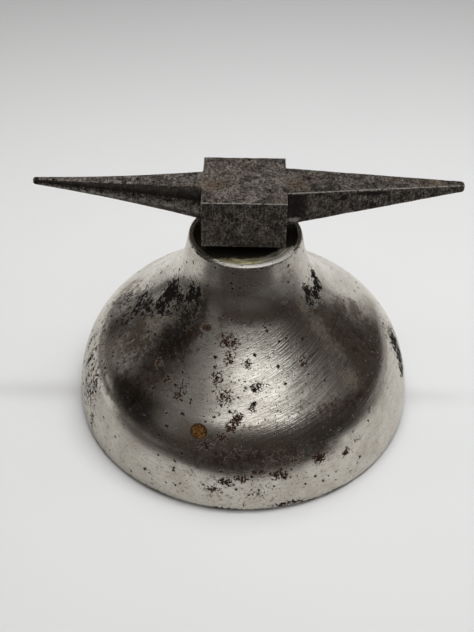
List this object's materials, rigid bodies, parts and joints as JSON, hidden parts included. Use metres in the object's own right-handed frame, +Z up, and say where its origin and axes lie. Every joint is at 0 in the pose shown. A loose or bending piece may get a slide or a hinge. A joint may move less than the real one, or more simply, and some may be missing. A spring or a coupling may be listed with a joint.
{
  "type": "miniature bench anvil",
  "caption": "Small double-horn bench anvil: a square-faced forged stake with a round and a square horn, standing in a weighted bell-shaped steel base.",
  "frame": {"origin": "on the bell's axis in the plane that the anvil stands on, which is the middle of the bottom of its box to within half a millimetre", "axes": "+X along the square horn, +Y away from the pictured front, +Z up out of the working face"},
  "size_m": [0.0862, 0.076, 0.0571],
  "materials": {
    "stake_steel": "dark grey-brown patina with file marks, small pits and edges worn bright",
    "bell_steel": "polished round the axis, worn, with black-brown stains, pits and rust specks",
    "socket_brass": "dull turned brass",
    "ballast_iron": "rough casting",
    "plate_steel": "turned, slightly tarnished",
    "fastener_steel": "dull steel",
    "pad_leather": "worn brown leather"
  },
  "bodies": {
    "base": {"bell_base": "bell_steel", "neck_socket": "socket_brass", "ballast": "ballast_iron", "base_plate": "plate_steel", "clamp_washer": "fastener_steel", "clamp_nut": "fastener_steel", "base_pad": "pad_leather"},
    "stake": {"double_horn_stake": "stake_steel"}
  },
  "joints": [
    {"name": "stake_lift", "type": "slide", "parent": "base", "child": "stake", "axis": [0, 0, 1], "range_m": [0, 0.03]}
  ]
}
